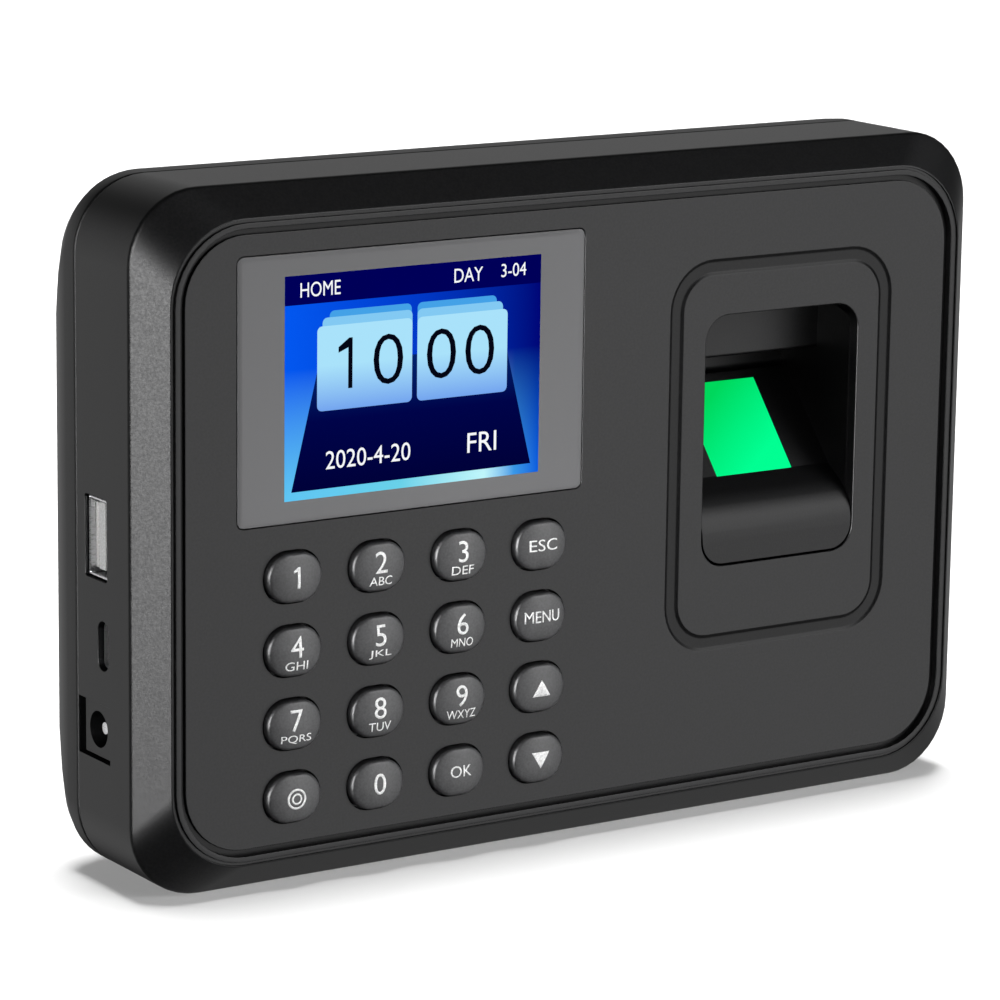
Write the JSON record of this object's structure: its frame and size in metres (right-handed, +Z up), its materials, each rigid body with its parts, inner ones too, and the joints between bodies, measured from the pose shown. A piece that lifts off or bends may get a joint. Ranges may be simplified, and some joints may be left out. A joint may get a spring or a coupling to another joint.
{
  "type": "fingerprint terminal",
  "caption": "Wall or desk fingerprint terminal: domed keypad and colour display on the left, recessed optical reader on the right, sockets in the left side.",
  "frame": {"origin": "middle of the bounding box's bottom face, under the case", "axes": "+X to the right seen from the front, +Y from the front to the wall behind, +Z up"},
  "size_m": [0.1676, 0.0362, 0.1163],
  "materials": {
    "housing_front": "fine spark-eroded texture, charcoal",
    "housing_rear": "fine texture, charcoal",
    "window": "smooth clear acrylic with a grey printed border",
    "lcd_glass": "lit colour display",
    "lcd_bezel": "stamped frame",
    "flex_film": "amber film",
    "ivory_plastic": "moulded connector",
    "silicone": "soft translucent grey",
    "carbon_pill": "conductive rubber",
    "circuit_board": "green solder mask",
    "screw_steel": "zinc plated",
    "black_plastic": "moulded black",
    "chip_epoxy": "moulded package",
    "capacitor_sleeve": "shrink sleeve",
    "cell_steel": "nickel plated",
    "socket_shell": "nickel plated",
    "socket_shell_dark": "dark plated",
    "usb_insulator": "white insulator",
    "jack_plastic": "moulded dark grey",
    "jack_pin": "plated pin",
    "guide_plastic": "fine texture, charcoal",
    "reader_glass": "polished prism lit green from inside",
    "sensor_case": "moulded black",
    "led_lens": "clear dome",
    "camera_lens": "coated lens",
    "ribbon": "flat ribbon",
    "speaker_metal": "pressed steel basket",
    "speaker_paper": "paper cone",
    "brass": "knurled inserts",
    "key_plastic": "satin domed caps with printed white legends"
  },
  "bodies": {
    "case": {"front_housing": "housing_front", "rear_cover": "housing_rear", "display_window": "window", "lcd_panel": "lcd_glass", "lcd_frame": "lcd_bezel", "lcd_flex": "flex_film", "lcd_connector": "ivory_plastic", "keypad_mat": "silicone", "contact_pills": "carbon_pill", "keypad_board": "circuit_board", "keypad_screws": "screw_steel", "board_header": "black_plastic", "main_board": "circuit_board", "board_screws": "screw_steel", "processor": "chip_epoxy", "memory_chips": "chip_epoxy", "capacitors": "capacitor_sleeve", "coin_cell_holder": "black_plastic", "coin_cell": "cell_steel", "usb_a_shell": "socket_shell", "usb_a_tongue": "usb_insulator", "micro_usb_shell": "socket_shell_dark", "micro_usb_tongue": "black_plastic", "power_jack_body": "jack_plastic", "power_jack_pin": "jack_pin", "finger_guide": "guide_plastic", "guide_screws": "screw_steel", "sensor_prism": "reader_glass", "sensor_housing": "sensor_case", "sensor_board": "circuit_board", "sensor_leds": "led_lens", "sensor_camera": "sensor_case", "sensor_lens": "camera_lens", "sensor_connector": "ivory_plastic", "sensor_cable": "ribbon", "speaker_frame": "speaker_metal", "speaker_cone": "speaker_paper", "case_screws": "screw_steel", "wall_inserts": "brass"},
    "key_1_cap": {"key_1": "key_plastic"},
    "key_2_cap": {"key_2": "key_plastic"},
    "key_3_cap": {"key_3": "key_plastic"},
    "key_esc_cap": {"key_esc": "key_plastic"},
    "key_4_cap": {"key_4": "key_plastic"},
    "key_5_cap": {"key_5": "key_plastic"},
    "key_6_cap": {"key_6": "key_plastic"},
    "key_menu_cap": {"key_menu": "key_plastic"},
    "key_7_cap": {"key_7": "key_plastic"},
    "key_8_cap": {"key_8": "key_plastic"},
    "key_9_cap": {"key_9": "key_plastic"},
    "key_up_cap": {"key_up": "key_plastic"},
    "key_power_cap": {"key_power": "key_plastic"},
    "key_0_cap": {"key_0": "key_plastic"},
    "key_ok_cap": {"key_ok": "key_plastic"},
    "key_down_cap": {"key_down": "key_plastic"}
  },
  "joints": [
    {"name": "key_1_press", "type": "slide", "parent": "case", "child": "key_1_cap", "axis": [0, 1, 0], "range_m": [0, 0.0008], "stiffness_N_per_m": 600},
    {"name": "key_2_press", "type": "slide", "parent": "case", "child": "key_2_cap", "axis": [0, 1, 0], "range_m": [0, 0.0008], "stiffness_N_per_m": 600},
    {"name": "key_3_press", "type": "slide", "parent": "case", "child": "key_3_cap", "axis": [0, 1, 0], "range_m": [0, 0.0008], "stiffness_N_per_m": 600},
    {"name": "key_esc_press", "type": "slide", "parent": "case", "child": "key_esc_cap", "axis": [0, 1, 0], "range_m": [0, 0.0008], "stiffness_N_per_m": 600},
    {"name": "key_4_press", "type": "slide", "parent": "case", "child": "key_4_cap", "axis": [0, 1, 0], "range_m": [0, 0.0008], "stiffness_N_per_m": 600},
    {"name": "key_5_press", "type": "slide", "parent": "case", "child": "key_5_cap", "axis": [0, 1, 0], "range_m": [0, 0.0008], "stiffness_N_per_m": 600},
    {"name": "key_6_press", "type": "slide", "parent": "case", "child": "key_6_cap", "axis": [0, 1, 0], "range_m": [0, 0.0008], "stiffness_N_per_m": 600},
    {"name": "key_menu_press", "type": "slide", "parent": "case", "child": "key_menu_cap", "axis": [0, 1, 0], "range_m": [0, 0.0008], "stiffness_N_per_m": 600},
    {"name": "key_7_press", "type": "slide", "parent": "case", "child": "key_7_cap", "axis": [0, 1, 0], "range_m": [0, 0.0008], "stiffness_N_per_m": 600},
    {"name": "key_8_press", "type": "slide", "parent": "case", "child": "key_8_cap", "axis": [0, 1, 0], "range_m": [0, 0.0008], "stiffness_N_per_m": 600},
    {"name": "key_9_press", "type": "slide", "parent": "case", "child": "key_9_cap", "axis": [0, 1, 0], "range_m": [0, 0.0008], "stiffness_N_per_m": 600},
    {"name": "key_up_press", "type": "slide", "parent": "case", "child": "key_up_cap", "axis": [0, 1, 0], "range_m": [0, 0.0008], "stiffness_N_per_m": 600},
    {"name": "key_power_press", "type": "slide", "parent": "case", "child": "key_power_cap", "axis": [0, 1, 0], "range_m": [0, 0.0008], "stiffness_N_per_m": 600},
    {"name": "key_0_press", "type": "slide", "parent": "case", "child": "key_0_cap", "axis": [0, 1, 0], "range_m": [0, 0.0008], "stiffness_N_per_m": 600},
    {"name": "key_ok_press", "type": "slide", "parent": "case", "child": "key_ok_cap", "axis": [0, 1, 0], "range_m": [0, 0.0008], "stiffness_N_per_m": 600},
    {"name": "key_down_press", "type": "slide", "parent": "case", "child": "key_down_cap", "axis": [0, 1, 0], "range_m": [0, 0.0008], "stiffness_N_per_m": 600}
  ]
}
